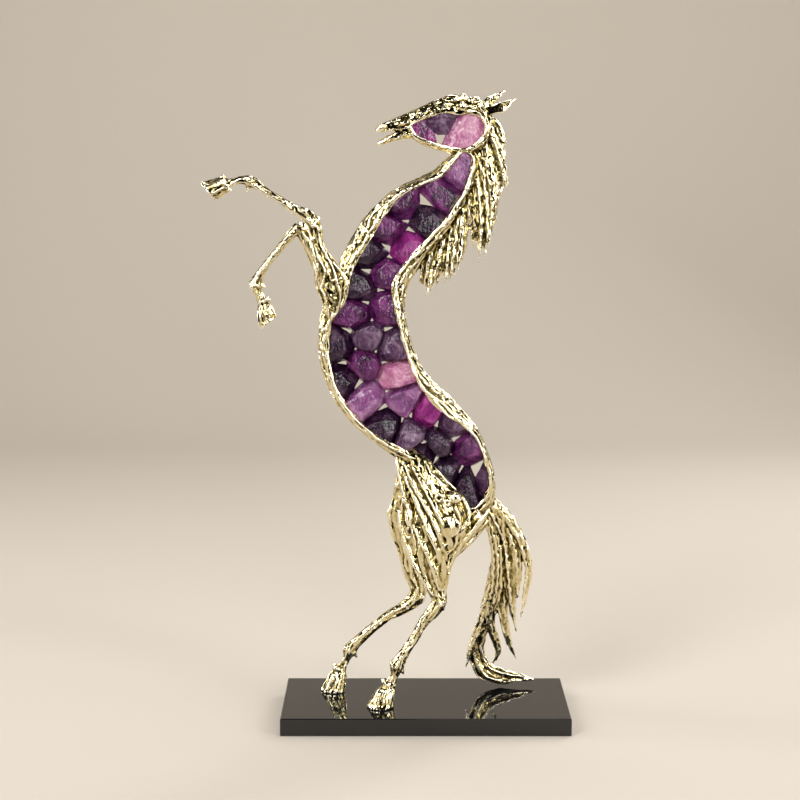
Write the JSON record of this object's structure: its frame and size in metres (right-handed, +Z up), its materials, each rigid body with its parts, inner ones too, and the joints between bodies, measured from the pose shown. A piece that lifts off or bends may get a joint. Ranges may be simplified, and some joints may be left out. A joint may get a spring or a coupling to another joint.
{
  "type": "rearing horse sculpture",
  "caption": "Rearing horse ornament in polished pale gold casting, its open body and head set with amethyst chunks, standing on a polished black slab.",
  "frame": {"origin": "centre of the slab's underside", "axes": "+Z up, -X the way the horse faces, +Y to its far side"},
  "size_m": [0.4009, 0.14, 0.7002],
  "materials": {
    "champagne_gold": "champagne gold plate, mirror polished over a lost wax casting",
    "black_slab": "black stone, polished to a mirror",
    "amethyst_lilac": "pale amethyst, tumbled",
    "amethyst_violet": "violet amethyst, tumbled",
    "amethyst_magenta": "bright amethyst, tumbled",
    "amethyst_plum": "deep amethyst, broken faces",
    "amethyst_smoky": "smoky amethyst with clear veins",
    "amethyst_rose": "rose amethyst, tumbled"
  },
  "bodies": {
    "root": {"slab": "black_slab", "horse_casting": "champagne_gold", "body_stone_01": "amethyst_lilac", "body_stone_02": "amethyst_violet", "body_stone_03": "amethyst_violet", "body_stone_04": "amethyst_plum", "body_stone_05": "amethyst_violet", "body_stone_06": "amethyst_magenta", "body_stone_07": "amethyst_plum", "body_stone_08": "amethyst_violet", "body_stone_09": "amethyst_plum", "body_stone_10": "amethyst_violet", "body_stone_11": "amethyst_violet", "body_stone_12": "amethyst_plum", "body_stone_13": "amethyst_smoky", "body_stone_14": "amethyst_smoky", "body_stone_15": "amethyst_violet", "body_stone_16": "amethyst_plum", "body_stone_17": "amethyst_rose", "body_stone_18": "amethyst_lilac", "body_stone_19": "amethyst_lilac", "body_stone_20": "amethyst_magenta", "body_stone_21": "amethyst_plum", "body_stone_22": "amethyst_smoky", "body_stone_23": "amethyst_plum", "body_stone_24": "amethyst_smoky", "body_stone_25": "amethyst_violet", "body_stone_26": "amethyst_plum", "body_stone_27": "amethyst_plum", "body_stone_28": "amethyst_plum", "body_stone_29": "amethyst_smoky", "head_stone_01": "amethyst_magenta", "head_stone_02": "amethyst_smoky", "head_stone_03": "amethyst_rose"}
  },
  "joints": []
}
